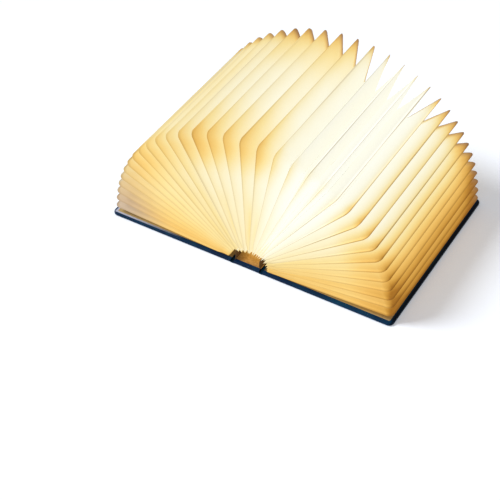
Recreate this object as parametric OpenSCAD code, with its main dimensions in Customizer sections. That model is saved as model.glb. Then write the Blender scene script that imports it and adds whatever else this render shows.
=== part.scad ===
// Folding book lamp, open flat and lit.
// X runs across the open book, Y along the spine, Z up. The origin is the middle of the
// spine's underside, so the lamp stands on Z = 0. The front cover lies on the -X side.
// The paper fan is 34 pleats: each is one V-folded, U-shaped paper frame that runs from the
// spine out along one end of the book, along its fore edge and back along the other end.

/* [Book] */
// Length of the book along its spine
book_length = 210; // [190:1:230]
// Width of a cover from its hinge line to its fore edge
cover_width = 141.5; // [130:0.5:155]
// Thickness of the closed book over both covers
book_thickness = 36; // [34:0.5:42]
// Radius of the covers' outer corners
cover_corner_r = 5.5; // [4:0.5:12]

/* [Case] */
// Thickness of the greyboard
board_t = 2.6; // [2.2:0.1:3.2]
// Thickness of the printed wrap
wrap_t = 0.35; // [0.3:0.05:0.5]
// Thickness of the endpaper and of the spine liner
endpaper_t = 0.35; // [0.3:0.05:0.5]
// Width of the wrap's rim that shows round the endpaper
turn_in = 4; // [3:0.5:7]
// Distance from a cover's hinge line to its board
joint_w = 7; // [6:0.5:9]
// Depth of the joint groove in the wrap
groove_depth = 1.2; // [0.8:0.1:1.8]
// Clearance between glued layers at their edges
glue_clear = 0.05; // [0.02:0.01:0.1]
// Running clearance between the spine and a closed cover
hinge_clear = 0.25; // [0.2:0.05:0.4]

/* [Paper fan] */
// Distance from the cover's near and far edges to the paper
paper_inset = 2.5; // [2:0.5:6]
// Distance from the cover's fore edge to the paper in the closed book
fore_inset = 1.3; // [0.8:0.1:3]
// Depth of a pleat from its ridge to its valley
pleat_depth = 28; // [20:1:34]
// Radius of a pleat's outer corners
pleat_corner_r = 6; // [4:0.5:12]
// Radius of a pleat's inner corners
pleat_inner_r = 4; // [2:0.5:8]
// Thickness of the paper
paper_t = 0.2; // [0.15:0.05:0.3]
// Angle between the first leaf and the upright
fan_half_angle = 87.4; // [80:0.2:88]
// How much wider the pleats stand at the top than at the covers
fan_bias = 0.27; // [0:0.01:0.4]
// Height of the root arch over its feet
arch_rise = 15; // [12:0.5:17]
// Gap between the outermost paper and the endpaper it is glued to
seat_gap = 0.3; // [0.2:0.05:0.4]
// Height of the closed stack's roots over the spine liner
closed_root_gap = 0.6; // [0.5:0.1:1]

/* [Root tape] */
// Thickness of the cloth tape under the roots and of its webs
tape_t = 0.5; // [0.4:0.1:0.8]
// Gap between the tape and the roots glued to it
tape_gap = 0.3; // [0.2:0.05:0.4]
// Half of the angle of the arch that the tape covers
tape_half_angle = 43; // [38:1:45]

/* [Light housing] */
// Gap between each end of the housing and the root tape there
housing_end_gap = 8.5; // [5:0.5:12]
// Width of the housing
housing_w = 26; // [24:0.5:27]
// Height of the tray
tray_h = 11.5; // [10.5:0.5:13]
// Wall and floor of the tray
tray_wall = 1.6; // [1.2:0.1:2]
// Radius of the tray's upright corners
tray_corner_r = 3; // [2:0.5:4]
// Thickness of the lid
lid_t = 2; // [1.6:0.1:2.4]
// Outer radius of the half-round diffuser
diffuser_r = 6.5; // [5.5:0.5:8]
// Wall of the diffuser
diffuser_wall = 1.2; // [1:0.1:1.6]
// Radius of the lid screws' shanks
screw_r = 1; // [0.8:0.1:1.2]
// Radius of the lid screws' heads
screw_head_r = 1.9; // [1.6:0.1:2.2]
// Number of light-emitting chips along the strip
led_count = 24; // [16:1:30]
// Width of the light strip
strip_w = 8; // [6:0.5:10]
// Length of the battery
battery_length = 58; // [50:1:64]
// Width of the battery
battery_w = 20; // [16:0.5:21]
// Height of the battery
battery_h = 7.5; // [6:0.5:8.5]
// Width of the charging socket's shell
usb_w = 8.9; // [8.9:0.1:9]
// Height of the charging socket's shell
usb_h = 3.2; // [3.2:0.1:3.3]
// Depth of the charging socket
usb_depth = 7.3; // [6.5:0.1:8]

/* [Magnets] */
// Radius of the closing magnets
magnet_r = 5; // [4:0.5:6]
// Thickness of every magnet
magnet_t = 1.5; // [1:0.1:1.8]
// Radius of the magnet that works the switch
switch_magnet_r = 4; // [3:0.5:4.5]
// Distance between the closing magnets along the spine
magnet_pitch = 120; // [80:1:150]
// Clearance round a magnet in its pocket
magnet_clear = 0.1; // [0.05:0.05:0.2]

/* [Hidden] */
PLEATS = 34;
function two_digits(k) = str(k < 10 ? "0" : "", k);
function pleat_name(k) = str("pleat_", two_digits(k));
$fn = 64;

// Case
case_t = wrap_t + board_t + endpaper_t;
hinge_x = book_thickness / 2;
fore_x = hinge_x + cover_width;
spine_half_w = hinge_x - case_t - hinge_clear;
board_x = hinge_x + joint_w;
board_top = wrap_t + board_t;
cover_edge_x = hinge_x + hinge_clear;
bend_w = 1.2;

// Paper fan
fan_half_y = book_length / 2 - paper_inset;
stack_half_w = hinge_x - case_t - hinge_clear;
stack_pitch = 2 * stack_half_w / PLEATS;
closed_root_z = case_t + closed_root_gap;
leaf_length = cover_width - fore_inset - closed_root_z;
// The end leaves are glued to the covers, so their roots keep their distance from the hinge
arch_half_w = hinge_x + closed_root_z;
arch_foot_z = case_t + 0.9;
seat_z = case_t + seat_gap;
root_lift = arch_foot_z + arch_rise - closed_root_z;
leg_steps = 3;
corner_steps = 3;
wall_share = 0.45;
gap_share = 0.2;
leaf_gap = 0.12;

// Housing
housing_length = 2 * (fan_half_y - pleat_depth - housing_end_gap);
tray_floor_z = case_t;
tray_top = tray_floor_z + tray_h;
lid_top = tray_top + lid_t;
boss_r = screw_r + 1.4;
boss_x = housing_w / 2 - tray_wall - boss_r + 0.4;
boss_y = housing_length / 2 - tray_wall - boss_r + 0.4;
screw_len = 8;
screw_head_t = 1;
screw_clear = 0.1;
part_gap = 0.3;
strip_t = 0.3;
strip_length = housing_length - 16;
chip_l = 3.5;
chip_w = 2.8;
chip_t = 0.8;
tray_inner_z = tray_floor_z + tray_wall;
battery_y = -boss_y + boss_r + part_gap + battery_length / 2;
rib_h = 2;
pcb_t = 1.2;
pcb_w = 19;
pcb_l = 34;
pcb_foot_r = 1.5;
pcb_foot_h = 1.5;
pcb_y1 = boss_y - boss_r - part_gap;
pcb_y0 = pcb_y1 - pcb_l;
pcb_z = tray_inner_z + pcb_foot_h;
pcb_top = pcb_z + pcb_t;
usb_wall = 0.35;
usb_tongue_w = 6.6;
usb_tongue_t = 0.7;
usb_z = pcb_top + usb_h / 2;
sensor_l = 4;
sensor_w = 1.5;
sensor_h = 3.2;
switch_y = pcb_y0 + 2 + sensor_l / 2;
switch_x = 12;

// ---- Fan rules: s runs from -1 at the first leaf to 1 at the last ----
function leaf_s(k) = -1 + 2 * (k - 1) / (PLEATS - 1);
function spread(s) = s + fan_bias * sin(180 * s) / 180 * 57.29578;
function leaf_angle(k) = 90 - fan_half_angle * spread(leaf_s(k));
// Position on the root arch that belongs to a leaf angle
function root_angle(a) = 90 + (a - 90) * 90 / fan_half_angle;
function is_end(k) = k < 1 || k > PLEATS;
function root_x(k) = arch_half_w * cos(root_angle(leaf_angle(k)));
function root_z(k) =
  is_end(k) ? seat_z : arch_foot_z + arch_rise * sin(root_angle(leaf_angle(k)));
function leaf_dir(k) = is_end(k) ? (k < 1 ? 180 : 0) : leaf_angle(k);
// Point of leaf plane k at distance u from its root and at y
function on_leaf(k, u, y) =
  [root_x(k) + u * cos(leaf_dir(k)), y, root_z(k) + u * sin(leaf_dir(k))];

// Outline of a leaf as [u, y]: out along the near end, round the corner, along the fore
// edge, round the far corner and back. in is the inset from the leaf's outer edge.
function outline(in, r) =
  let (len = leaf_length - in, half = fan_half_y - in, leg = len - r)
  concat(
    [for (i = [0:leg_steps - 1]) [leg * i / leg_steps, -half]],
    [for (i = [0:corner_steps])
      let (a = -90 + 90 * i / corner_steps) [leg + r * cos(a), -half + r * (1 + sin(a))]],
    [[len, 0]],
    [for (i = [0:corner_steps])
      let (a = 90 * i / corner_steps) [leg + r * cos(a), half - r * (1 - sin(a))]],
    [for (i = [leg_steps - 1:-1:0]) [leg * i / leg_steps, half]]);

function mix(a, b, t) = a + (b - a) * t;

// Ring i of pleat k: ridge outside, right valley outside and inside, ridge inside,
// left valley inside and outside
function pleat_ring(k, ridge, valley) =
  let (
    o = on_leaf(k, ridge[0], ridge[1]),
    c = on_leaf(k, valley[0], valley[1]),
    r = on_leaf(k + 0.5, valley[0], valley[1]),
    l = on_leaf(k - 0.5, valley[0], valley[1]),
    wr = norm(r - c),
    wl = norm(l - c),
    w = min(wr, wl),
    gr = min(leaf_gap, gap_share * wr) / wr,
    gl = min(leaf_gap, gap_share * wl) / wl,
    tr = min(paper_t, wall_share * wr) / wr,
    tl = min(paper_t, wall_share * wl) / wl)
  [o, mix(r, c, gr), mix(r, c, gr + tr),
   mix(o, c, min(wall_share, paper_t / w)), mix(l, c, gl + tl), mix(l, c, gl)];

RING = 6;
// Skins that the diagonals of the quads cross the other way, so that both sides of a flank
// fold along the same lines and the paper keeps its thickness
CROSSED = [2, 5];
function is_crossed(j) = len(search(j, CROSSED)) > 0;
function tube_faces(rings) = concat(
  cap_faces(0, false), cap_faces((rings - 1) * RING, true),
  [for (i = [0:rings - 2], j = [0:RING - 1])
    let (n = (j + 1) % RING, a = i * RING, b = a + RING)
      is_crossed(j) ? [a + j, b + j, a + n] : [a + j, b + n, a + n]],
  [for (i = [0:rings - 2], j = [0:RING - 1])
    let (n = (j + 1) % RING, a = i * RING, b = a + RING)
      is_crossed(j) ? [b + j, b + n, a + n] : [a + j, b + j, b + n]]);
function cap_faces(b, far) =
  [for (t = [[0, 1, 2], [0, 2, 3], [0, 3, 4], [0, 4, 5]])
    far ? [b + t[0], b + t[2], b + t[1]] : [b + t[0], b + t[1], b + t[2]]];

module pleat(k) {
  ridge = outline(0, pleat_corner_r);
  valley = outline(pleat_depth, pleat_inner_r);
  rings = len(ridge);
  points = [for (i = [0:rings - 1]) each pleat_ring(k, ridge[i], valley[i])];
  color("moccasin") polyhedron(points, tube_faces(rings));
}

// ---- Case ----
// Cover outline on the +X side: square at the joint, round at the fore edge
module cover_outline(x0, in) {
  r = cover_corner_r - in;
  x1 = fore_x - in;
  half = book_length / 2 - in;
  translate([x0, -half]) square([x1 - x0 - r, 2 * half]);
  translate([x0, -half + r]) square([x1 - x0, 2 * (half - r)]);
  for (side = [-1, 1]) translate([x1 - r, side * (half - r)]) circle(r = r);
}

module magnet_places(r_close, r_switch) {
  for (side = [-1, 1])
    translate([fore_x - turn_in - 2 * magnet_r, side * magnet_pitch / 2]) circle(r = r_close);
  if (r_switch > 0)
    translate([hinge_x + switch_x, switch_y]) circle(r = r_switch);
}

module cover_board(r_switch) {
  pocket = magnet_t + magnet_clear;
  difference() {
    translate([0, 0, wrap_t]) linear_extrude(board_t) cover_outline(board_x, wrap_t + glue_clear);
    translate([0, 0, board_top - pocket]) linear_extrude(pocket + 1)
      magnet_places(magnet_r + magnet_clear, r_switch);
  }
}

module cover_magnets(r_switch) {
  translate([0, 0, board_top - magnet_t]) linear_extrude(magnet_t)
    magnet_places(magnet_r, r_switch);
}

// The wrap: a sheet under the board, folded up round three edges and in over the board,
// with the joint groove pressed into it between the hinge line and the board
module cover_wrap() {
  difference() {
    linear_extrude(case_t) cover_outline(cover_edge_x, 0);
    translate([0, 0, wrap_t]) linear_extrude(board_t) cover_outline(cover_edge_x - 1, wrap_t);
    translate([0, 0, board_top - 1]) linear_extrude(endpaper_t + 2)
      cover_outline(cover_edge_x - 1, turn_in);
    rotate([90, 0, 0]) translate([0, 0, -book_length]) linear_extrude(2 * book_length)
      groove_profile(0, -1);
  }
  rotate([90, 0, 0]) translate([0, 0, -book_length / 2 + wrap_t])
    linear_extrude(book_length - 2 * wrap_t)
      difference() { groove_profile(wrap_t, 0); groove_profile(0, -1); }
}

// Section of the groove: a ridge up to groove_depth + t over the line z
module groove_profile(t, z) {
  x0 = cover_edge_x + bend_w;
  x1 = board_x - wrap_t;
  polygon([[x0, z], [x0, t], [x0 + bend_w, groove_depth + t],
           [x1 - bend_w, groove_depth + t], [x1, t], [x1, z]]);
}

module cover_endpaper() {
  translate([0, 0, board_top]) linear_extrude(endpaper_t)
    cover_outline(cover_edge_x, turn_in + glue_clear);
}

module joint_cloth() {
  x0 = spine_half_w + glue_clear;
  translate([x0, -book_length / 2, glue_clear])
    cube([cover_edge_x - glue_clear - x0, book_length, wrap_t]);
}

module spine_box(half_w, half_y, z0, t) {
  translate([-half_w, -half_y, z0]) cube([2 * half_w, 2 * half_y, t]);
}

module spine_board() {
  color("burlywood")
    spine_box(spine_half_w, book_length / 2 - wrap_t - glue_clear, wrap_t, board_t);
}

module spine_wrap() {
  color("midnightblue") difference() {
    spine_box(spine_half_w, book_length / 2, 0, case_t);
    spine_box(spine_half_w + 1, book_length / 2 - wrap_t, wrap_t, board_t);
    spine_box(spine_half_w + 1, book_length / 2 - turn_in, board_top - 1, endpaper_t + 2);
  }
}

module spine_liner() {
  color("goldenrod")
    spine_box(spine_half_w, book_length / 2 - turn_in - glue_clear, board_top, endpaper_t);
}

module front_side() mirror([1, 0, 0]) children();

module front_board() color("burlywood") front_side() cover_board(switch_magnet_r + magnet_clear);
module front_wrap() color("midnightblue") front_side() cover_wrap();
module front_endpaper() color("ivory") front_side() cover_endpaper();
module front_magnets() color("silver") front_side() cover_magnets(switch_magnet_r);
module front_joint_cloth() color("navy") front_side() joint_cloth();
module back_board() color("burlywood") cover_board(0);
module back_wrap() color("midnightblue") cover_wrap();
module back_endpaper() color("ivory") cover_endpaper();
module back_magnets() color("silver") cover_magnets(0);
module back_joint_cloth() color("navy") joint_cloth();

// ---- Root tape: the cloth that carries the leaves' roots and stands off the spine ----
function tape_point(a, in) =
  [(arch_half_w - tape_gap - in) * cos(a), arch_foot_z + (arch_rise - tape_gap - in) * sin(a)];
tape_steps = 12;
tape_from = 90 - tape_half_angle;

module root_tape(side) {
  arc = [for (i = [0:tape_steps]) tape_from + 2 * tape_half_angle * i / tape_steps];
  y = side > 0 ? fan_half_y : -fan_half_y + pleat_depth;
  color("wheat") translate([0, y, 0]) rotate([90, 0, 0]) linear_extrude(pleat_depth)
    polygon(concat([for (a = arc) tape_point(a, 0)],
                   [for (i = [tape_steps:-1:0]) tape_point(arc[i], tape_t)]));
}
module near_root_tape() root_tape(-1);
module far_root_tape() root_tape(1);

module root_webs() {
  foot = tape_point(tape_from, tape_t);
  x = min(foot[0], spine_half_w) - tape_t;
  color("saddlebrown") for (side = [-1, 1], end = [-1, 1])
    translate([side * x - tape_t / 2, end > 0 ? fan_half_y - pleat_depth : -fan_half_y, seat_z])
      cube([tape_t, pleat_depth, foot[1] - seat_z - tape_gap]);
}

// ---- Light housing ----
module rounded_plan(length, w, r) {
  square([w - 2 * r, length], center = true);
  square([w, length - 2 * r], center = true);
  for (sx = [-1, 1], sy = [-1, 1])
    translate([sx * (w / 2 - r), sy * (length / 2 - r)]) circle(r = r);
}

module boss_places() {
  for (sx = [-1, 1], sy = [-1, 1]) translate([sx * boss_x, sy * boss_y]) children();
}

module usb_plan(grow) {
  r = usb_h / 2 + grow;
  square([usb_w - usb_h, 2 * r], center = true);
  for (s = [-1, 1]) translate([s * (usb_w - usb_h) / 2, 0]) circle(r = r);
}

module led_tray() {
  inner_l = housing_length - 2 * tray_wall;
  color("dimgray") translate([0, 0, tray_floor_z]) difference() {
    union() {
      difference() {
        linear_extrude(tray_h) rounded_plan(housing_length, housing_w, tray_corner_r);
        translate([0, 0, tray_wall]) linear_extrude(tray_h)
          rounded_plan(inner_l, housing_w - 2 * tray_wall, tray_corner_r - tray_wall);
      }
      linear_extrude(tray_h) boss_places() circle(r = boss_r);
      translate([-housing_w / 2 + tray_wall / 2, battery_y + battery_length / 2 + part_gap, 0])
        cube([housing_w - tray_wall, tray_wall, tray_wall + rib_h]);
    }
    translate([0, 0, tray_h - screw_len]) boss_places() cylinder(r = screw_r + 0.02, h = tray_h);
    translate([0, housing_length / 2 + 1, usb_z - tray_floor_z]) rotate([90, 0, 0])
      linear_extrude(tray_wall + 2) usb_plan(screw_clear);
  }
}

module tray_lid() {
  color("silver") difference() {
    translate([0, 0, tray_top]) linear_extrude(lid_t)
      rounded_plan(housing_length, housing_w, tray_corner_r);
    translate([0, 0, tray_top - 1]) boss_places() cylinder(r = screw_r + screw_clear, h = lid_t + 2);
    translate([-strip_w / 2 - screw_clear, -strip_length / 2 - screw_clear, lid_top - strip_t])
      cube([strip_w + 2 * screw_clear, strip_length + 2 * screw_clear, 1]);
  }
}

module led_strip() {
  color("white") translate([-strip_w / 2, -strip_length / 2, lid_top - strip_t])
    cube([strip_w, strip_length, strip_t]);
}

module led_chips() {
  pitch = strip_length / led_count;
  color("gold") for (i = [0:led_count - 1])
    translate([0, -strip_length / 2 + pitch * (i + 0.5), lid_top + chip_t / 2])
      cube([chip_w, chip_l, chip_t], center = true);
}

module diffuser() {
  length = strip_length + 4;
  color("whitesmoke") translate([0, length / 2, lid_top]) rotate([90, 0, 0]) difference() {
    linear_extrude(length) intersection() {
      circle(r = diffuser_r);
      translate([-diffuser_r, 0]) square([2 * diffuser_r, diffuser_r]);
    }
    translate([0, 0, diffuser_wall]) linear_extrude(length - 2 * diffuser_wall)
      circle(r = diffuser_r - diffuser_wall);
  }
}

module battery() {
  color("lightsteelblue") translate([0, battery_y, tray_inner_z])
    linear_extrude(battery_h) rounded_plan(battery_length, battery_w, 1.5);
}

module control_board() {
  color("seagreen") {
    translate([-pcb_w / 2, pcb_y0, pcb_z]) cube([pcb_w, pcb_l, pcb_t]);
    for (sx = [-1, 1], y = [pcb_y0 + 3, pcb_y1 - 3])
      translate([sx * (pcb_w / 2 - 3), y, tray_inner_z]) cylinder(r = pcb_foot_r, h = pcb_foot_h);
    translate([-4, pcb_y0 + 8, pcb_top]) cube([6, 6, 1.2]);
    translate([3, pcb_y0 + 16, pcb_top]) cube([4, 5, 1.6]);
  }
}

module usb_socket() {
  color("silver") translate([0, housing_length / 2, usb_z]) rotate([90, 0, 0]) {
    difference() {
      linear_extrude(usb_depth) usb_plan(0);
      translate([0, 0, -usb_wall]) linear_extrude(usb_depth) usb_plan(-usb_wall);
    }
    translate([-usb_tongue_w / 2, -usb_tongue_t / 2, 2 * usb_wall])
      cube([usb_tongue_w, usb_tongue_t, usb_depth - 3 * usb_wall]);
  }
}

module switch_sensor() {
  color("black") translate([-pcb_w / 2 + 0.5, switch_y - sensor_l / 2, pcb_top])
    cube([sensor_w, sensor_l, sensor_h]);
}

module lid_screws() {
  color("gray") boss_places() {
    translate([0, 0, tray_top - screw_len + 0.5]) cylinder(r = screw_r, h = screw_len + lid_t - 0.5);
    translate([0, 0, lid_top]) cylinder(r = screw_head_r, h = screw_head_t);
  }
}

spine_board();
spine_wrap();
spine_liner();
front_board();
front_wrap();
front_endpaper();
front_magnets();
front_joint_cloth();
back_board();
back_wrap();
back_endpaper();
back_magnets();
back_joint_cloth();
near_root_tape();
far_root_tape();
root_webs();
led_tray();
tray_lid();
led_strip();
led_chips();
diffuser();
battery();
control_board();
usb_socket();
switch_sensor();
lid_screws();
for (k = [1:PLEATS]) pleat(k);
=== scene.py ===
"""Looks of the folding book lamp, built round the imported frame.

Metres. X runs across the open book, Y along the spine, Z up; the front cover lies on the -X side.
"""
import math
import random

import bpy
from mathutils import Matrix, Vector


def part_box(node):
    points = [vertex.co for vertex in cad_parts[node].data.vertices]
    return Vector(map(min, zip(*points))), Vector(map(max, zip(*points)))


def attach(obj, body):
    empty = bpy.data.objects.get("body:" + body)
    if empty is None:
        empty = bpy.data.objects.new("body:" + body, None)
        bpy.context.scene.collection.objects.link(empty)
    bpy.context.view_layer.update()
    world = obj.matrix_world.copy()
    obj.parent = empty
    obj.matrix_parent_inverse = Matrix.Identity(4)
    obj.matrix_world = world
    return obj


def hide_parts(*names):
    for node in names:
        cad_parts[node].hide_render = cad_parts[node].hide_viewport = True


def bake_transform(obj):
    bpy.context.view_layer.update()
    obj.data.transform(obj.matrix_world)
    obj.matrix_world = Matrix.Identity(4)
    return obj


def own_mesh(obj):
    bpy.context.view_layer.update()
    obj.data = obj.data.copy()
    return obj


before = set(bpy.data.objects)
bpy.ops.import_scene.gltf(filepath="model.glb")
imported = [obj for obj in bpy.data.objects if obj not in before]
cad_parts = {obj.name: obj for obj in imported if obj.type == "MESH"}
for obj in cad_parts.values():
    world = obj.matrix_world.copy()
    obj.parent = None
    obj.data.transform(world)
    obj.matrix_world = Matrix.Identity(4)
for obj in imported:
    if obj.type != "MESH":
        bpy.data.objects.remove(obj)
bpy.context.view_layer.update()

MM = 0.001
PLEATS = 34

# Case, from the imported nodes
case_low, case_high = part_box("back_wrap")
CASE_T = case_high.z
FORE_X = case_high.x
HALF_LENGTH = case_high.y
COVER_EDGE_X = case_low.x
SPINE_HALF_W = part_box("spine_wrap")[1].x
BOARD_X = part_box("back_board")[0].x
TURN_IN = HALF_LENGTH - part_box("back_endpaper")[1].y
CORNER_R = 5.5 * MM
EDGE_R = 1.0 * MM
GROOVE_DEPTH = 1.2 * MM
BEND_W = 1.2 * MM

# Paper fan: the same rules as the solids
HINGE_X = 18 * MM
PAPER_HALF_Y = HALF_LENGTH - 2.5 * MM
LEAF_LENGTH = 136.3 * MM
PLEAT_DEPTH = 28 * MM
PLEAT_CORNER_R = 6 * MM
PLEAT_INNER_R = 4 * MM
FAN_HALF_ANGLE = 87.4
FAN_BIAS = 0.27
ARCH_HALF_W = HINGE_X + 3.9 * MM
ARCH_RISE = 15 * MM
ARCH_FOOT_Z = CASE_T + 0.9 * MM
SEAT_Z = CASE_T + 0.3 * MM
PAPER_T = 0.16 * MM
VALLEY_GAP = 0.03 * MM
# Most sway and bow of a leaf, and how far every other leaf's ends are nipped back at the root
SWAY = 0.35 * MM
BOW = 0.9 * MM
NIP = 2.4 * MM
# Leaves that take less light near their roots, and how much less
AMBER_LEAVES = {9: 0.10, 11: 0.16, 14: 0.26, 15: 0.10, 17: 0.20, 18: 0.12, 20: 0.06}

# Cloth in the hollow under the roots
CLOTH_T = 0.45 * MM
TAPE_HALF_ANGLE = 42.2
TAPE_STEPS = 24
TAPE_DROP = 0.3 * MM
WEB_STEPS = 8
WEB_BOW = 0.5 * MM
TEETH_HALF_W = 13.6 * MM
# Light on a tooth's ridge, its two folds and its tip
TOOTH_GLOW = (0.80, 0.66, 0.66, 0.42)

# Printed design: half sizes, border, beads and round panel of a cover, and pitch of the spine
PRINT_HALF_X = 63 * MM
PRINT_HALF_Y = HALF_LENGTH - 7 * MM
LATTICE_X = 26 * MM
LATTICE_Y = 34 * MM
FIELD_INSET = 10.2 * MM
BEAD_BAND = 9.5 * MM
BEAD_PITCH = 6 * MM
BEAD_TRACK = 6.4 * MM
BEAD_HALF_W = 2.6 * MM
PANEL_R = 21.0 * MM
SPINE_PITCH = 42 * MM
WEAVE_PITCH = 0.7 * MM

# Studio: floor, level of the surroundings as light and as backdrop
FLOOR_HALF_W = 12.0
FLOOR_DROP = 0.0002
FLOOR_COLOUR = (0.785, 0.835, 0.925, 1)
FLOOR_GLOW = 0.20
ROOM_LEVEL = 0.40
BACKDROP_LEVEL = 1.0

# Camera, fitted to the photo's covers, spine and ridges
CAMERA_PITCH = math.radians(42.9)
CAMERA_YAW = math.radians(-30.19)
CAMERA_ROLL = math.radians(0.3)
CAMERA_DISTANCE = 1.411
CAMERA_TARGET = Vector((-0.0102, -0.0800, 0.0))
SENSOR_MM = 36.0
FOCAL_PX = 1410.0
IMAGE_PX = 500.0


def srgb(code):
    """Linear colour from a six-digit hex code."""
    values = [int(code[i:i + 2], 16) / 255 for i in (0, 2, 4)]
    linear = [v / 12.92 if v <= 0.04045 else ((v + 0.055) / 1.055) ** 2.4 for v in values]
    return (*linear, 1.0)


# ---------------------------------------------------------------- node helpers
class Socket:
    """A shader value that can be written as a formula."""

    def __init__(self, graph, socket):
        self.graph = graph
        self.socket = socket

    def _op(self, kind, other):
        return self.graph.math(kind, self, other)

    def __abs__(self):
        return self.graph.math("ABSOLUTE", self)

    def __add__(self, other):
        return self._op("ADD", other)

    def __radd__(self, other):
        return self._op("ADD", other)

    def __sub__(self, other):
        return self._op("SUBTRACT", other)

    def __rsub__(self, other):
        return self.graph.math("SUBTRACT", other, self)

    def __mul__(self, other):
        return self._op("MULTIPLY", other)

    def __truediv__(self, other):
        return self._op("DIVIDE", other)

    def below(self, limit, soft):
        """1 where the value is below limit, 0 above, over a band as wide as soft."""
        return self.graph.math("ADD", (limit - self) / soft, 0.5, clamp=True)


class Graph:
    """One material and the nodes that make it."""

    def __init__(self, name):
        self.material = bpy.data.materials.new(name)
        self.material.use_nodes = True
        self.tree = self.material.node_tree
        self.tree.nodes.clear()
        self.output = self.node("ShaderNodeOutputMaterial")

    def node(self, kind, **settings):
        made = self.tree.nodes.new(kind)
        for key, value in settings.items():
            setattr(made, key, value)
        return made

    def feed(self, target, value):
        """Sets or links an input."""
        if isinstance(value, Socket):
            self.tree.links.new(value.socket, target)
        elif isinstance(value, (int, float)) and hasattr(target.default_value, "__len__"):
            target.default_value = [value] * len(target.default_value)
        else:
            target.default_value = value

    def math(self, kind, *values, clamp=False):
        made = self.node("ShaderNodeMath", operation=kind, use_clamp=clamp)
        for target, value in zip(made.inputs, values):
            self.feed(target, value)
        return Socket(self, made.outputs[0])

    def position(self):
        """x, y, z and the vector of the point at rest, in the row frame."""
        coords = self.node("ShaderNodeTexCoord")
        split = self.node("ShaderNodeSeparateXYZ")
        self.tree.links.new(coords.outputs["Object"], split.inputs[0])
        return [Socket(self, s) for s in split.outputs] + [Socket(self, coords.outputs["Object"])]

    def scaled(self, vector, factors):
        made = self.node("ShaderNodeVectorMath", operation="MULTIPLY")
        self.feed(made.inputs[0], vector)
        made.inputs[1].default_value = factors
        return Socket(self, made.outputs[0])

    def noise(self, vector, scale, detail=4.0, rough=0.5, distort=0.0):
        made = self.node("ShaderNodeTexNoise")
        self.feed(made.inputs["Vector"], vector)
        made.inputs["Scale"].default_value = scale
        made.inputs["Detail"].default_value = detail
        made.inputs["Roughness"].default_value = rough
        made.inputs["Distortion"].default_value = distort
        return Socket(self, made.outputs["Fac"])

    def cells(self, vector, scale):
        made = self.node("ShaderNodeTexVoronoi")
        self.feed(made.inputs["Vector"], vector)
        made.inputs["Scale"].default_value = scale
        made.inputs["Randomness"].default_value = 1.0
        return Socket(self, made.outputs["Distance"]), Socket(self, made.outputs["Color"])

    def attribute(self, name):
        made = self.node("ShaderNodeAttribute", attribute_name=name)
        return Socket(self, made.outputs["Fac"])

    def ramp(self, value, stops):
        """Colour ramp: stops are (position, colour)."""
        made = self.node("ShaderNodeValToRGB")
        band = made.color_ramp
        band.interpolation = "LINEAR"
        while len(band.elements) < len(stops):
            band.elements.new(0.5)
        for element, (place, colour) in zip(band.elements, stops):
            element.position = place
            element.color = colour
        self.feed(made.inputs[0], value)
        return Socket(self, made.outputs[0])

    def mix(self, share, first, second, blend="MIX"):
        made = self.node("ShaderNodeMix", data_type="RGBA", blend_type=blend)
        self.feed(made.inputs[0], share)
        self.feed(made.inputs[6], first)
        self.feed(made.inputs[7], second)
        return Socket(self, made.outputs[2])

    def bump(self, height, strength, distance):
        made = self.node("ShaderNodeBump")
        made.inputs["Strength"].default_value = strength
        made.inputs["Distance"].default_value = distance
        self.feed(made.inputs["Height"], height)
        return Socket(self, made.outputs[0])

    def finish(self, **inputs):
        """Principled shader with these inputs, underscores for spaces."""
        shader = self.node("ShaderNodeBsdfPrincipled")
        for name, value in inputs.items():
            self.feed(shader.inputs[name.replace("_", " ")], value)
        self.tree.links.new(shader.outputs[0], self.output.inputs[0])
        return self.material


# ---------------------------------------------------------------- mesh helpers
def make_mesh(name, points, faces, material, sharp_angle=None):
    """Flat faces, or rounded ones with edges left sharp from sharp_angle degrees on."""
    rounded = sharp_angle is not None
    mesh = bpy.data.meshes.new(name)
    mesh.from_pydata([tuple(p) for p in points], [], faces)
    mesh.validate()
    mesh.update()
    piece = bpy.data.objects.new(name, mesh)
    bpy.context.scene.collection.objects.link(piece)
    mesh.materials.append(material)
    mesh.polygons.foreach_set("use_smooth", [rounded] * len(mesh.polygons))
    if rounded:
        mesh.set_sharp_from_angle(angle=math.radians(sharp_angle))
    return piece


def slab_faces(across, rows):
    """Faces of two layers of (across + 1) x (rows + 1) points, joined round the edge."""
    layer = (across + 1) * (rows + 1)

    def at(i, j, top):
        return top * layer + i * (rows + 1) + j

    faces = []
    for i in range(across):
        for j in range(rows):
            faces.append((at(i, j, 0), at(i, j + 1, 0), at(i + 1, j + 1, 0), at(i + 1, j, 0)))
            faces.append((at(i, j, 1), at(i + 1, j, 1), at(i + 1, j + 1, 1), at(i, j + 1, 1)))
        faces.append((at(i, 0, 0), at(i + 1, 0, 0), at(i + 1, 0, 1), at(i, 0, 1)))
        faces.append((at(i + 1, rows, 0), at(i, rows, 0), at(i, rows, 1), at(i + 1, rows, 1)))
    for j in range(rows):
        faces.append((at(0, j + 1, 0), at(0, j, 0), at(0, j, 1), at(0, j + 1, 1)))
        faces.append((at(across, j, 0), at(across, j + 1, 0),
                      at(across, j + 1, 1), at(across, j, 1)))
    return faces


def lerp(a, b, t):
    return a + (b - a) * t


def smooth(value, low, high):
    """0 below low and 1 above high, with a soft ramp between."""
    t = max(0.0, min(1.0, (value - low) / (high - low)))
    return t * t * (3 - 2 * t)


def bell(angle, centre, width):
    return math.exp(-((angle - centre) / width) ** 2)


# ---------------------------------------------------------------- materials
def sheet_grain(g, vector):
    """Fine fibres and mottling of paper, as a height."""
    fibres = g.noise(vector, 900, 3, 0.6)
    mottle = g.noise(vector, 120, 4, 0.55)
    return fibres * 0.6 + mottle * 0.4


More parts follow.
